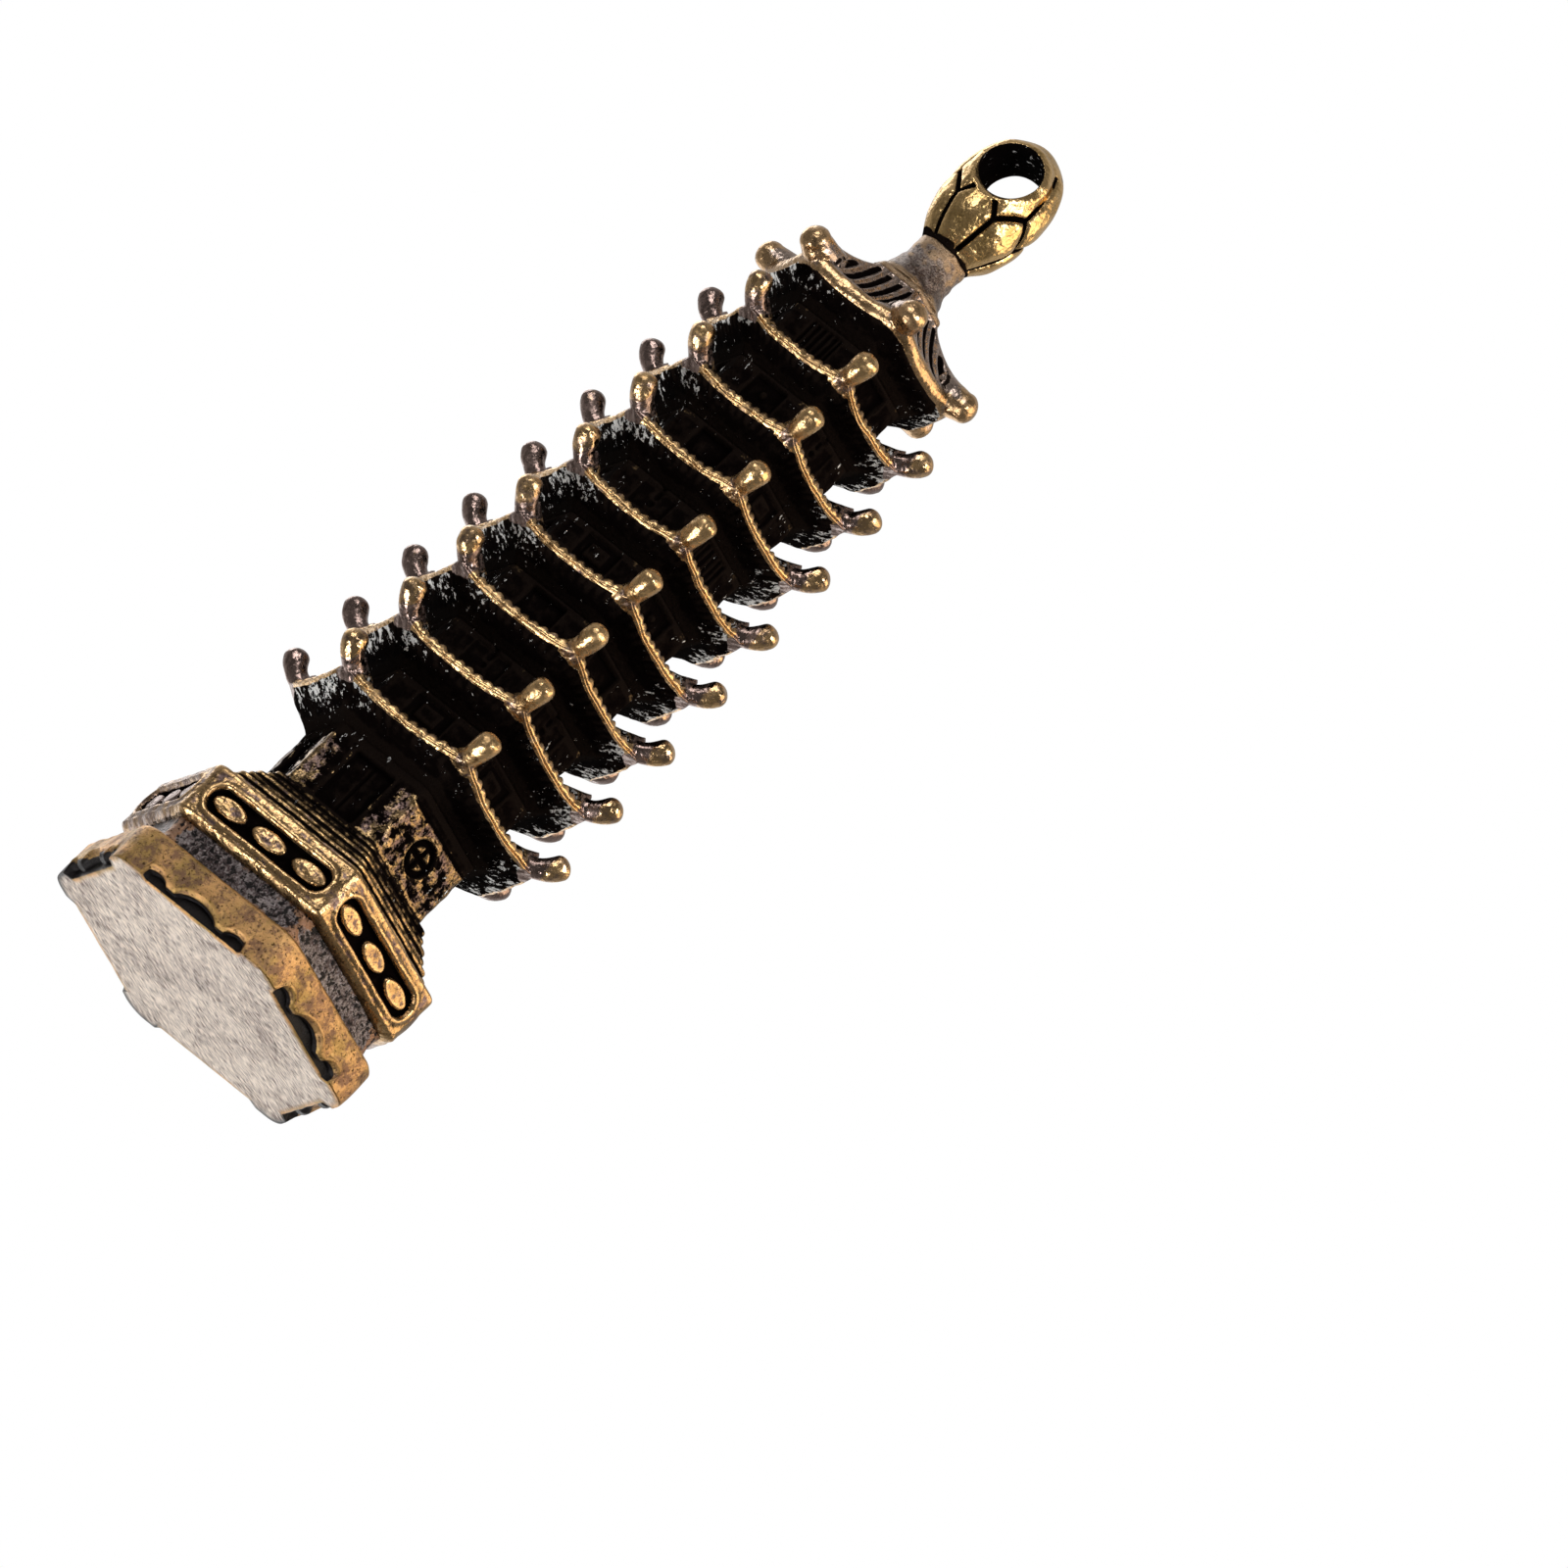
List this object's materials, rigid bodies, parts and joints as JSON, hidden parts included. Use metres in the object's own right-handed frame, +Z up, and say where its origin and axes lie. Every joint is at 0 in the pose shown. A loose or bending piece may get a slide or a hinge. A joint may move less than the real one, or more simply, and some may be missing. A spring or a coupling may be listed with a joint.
{
  "type": "pagoda charm pendant",
  "caption": "Small cast brass charm shaped as a slim hexagonal pagoda on a panelled plinth, with curled eaves and a lotus bud finial pierced as a hanging loop.",
  "frame": {"origin": "centre of the flat underside of the foot slab, on the tower's axis, with the charm standing upright", "axes": "+Z up the tower's axis to the loop, -Y out of the front side with the panelled door, +X to the right seen from the front; the corners of the hexagon lie on +X and -X"},
  "size_m": [0.0174, 0.0154, 0.0573],
  "materials": {
    "antique_brass": "blackened antique brass, rubbed back to bright brass on lips and rod ends, satin gloss",
    "worn_brass": "polished antique brass with black patina left in the grooves",
    "speckled_patina": "rough purple-brown patina with grey and black speckles",
    "matte_patina": "matte brown-grey patina with small coppery wear"
  },
  "bodies": {
    "root": {"foot_slab": "worn_brass", "plinth_waist": "speckled_patina", "plinth_body": "worn_brass", "crown_step_1": "antique_brass", "crown_step_2": "antique_brass", "crown_step_3": "antique_brass", "storey_1": "antique_brass", "storey_2": "antique_brass", "storey_3": "antique_brass", "storey_4": "antique_brass", "storey_5": "antique_brass", "storey_6": "antique_brass", "storey_7": "antique_brass", "storey_8": "antique_brass", "storey_9": "antique_brass", "eave_1": "antique_brass", "eave_2": "antique_brass", "eave_3": "antique_brass", "eave_4": "antique_brass", "eave_5": "antique_brass", "eave_6": "antique_brass", "eave_7": "antique_brass", "eave_8": "antique_brass", "top_roof": "antique_brass", "neck_collar": "matte_patina", "spire_neck": "matte_patina", "lotus_bud_loop": "worn_brass"}
  },
  "joints": []
}
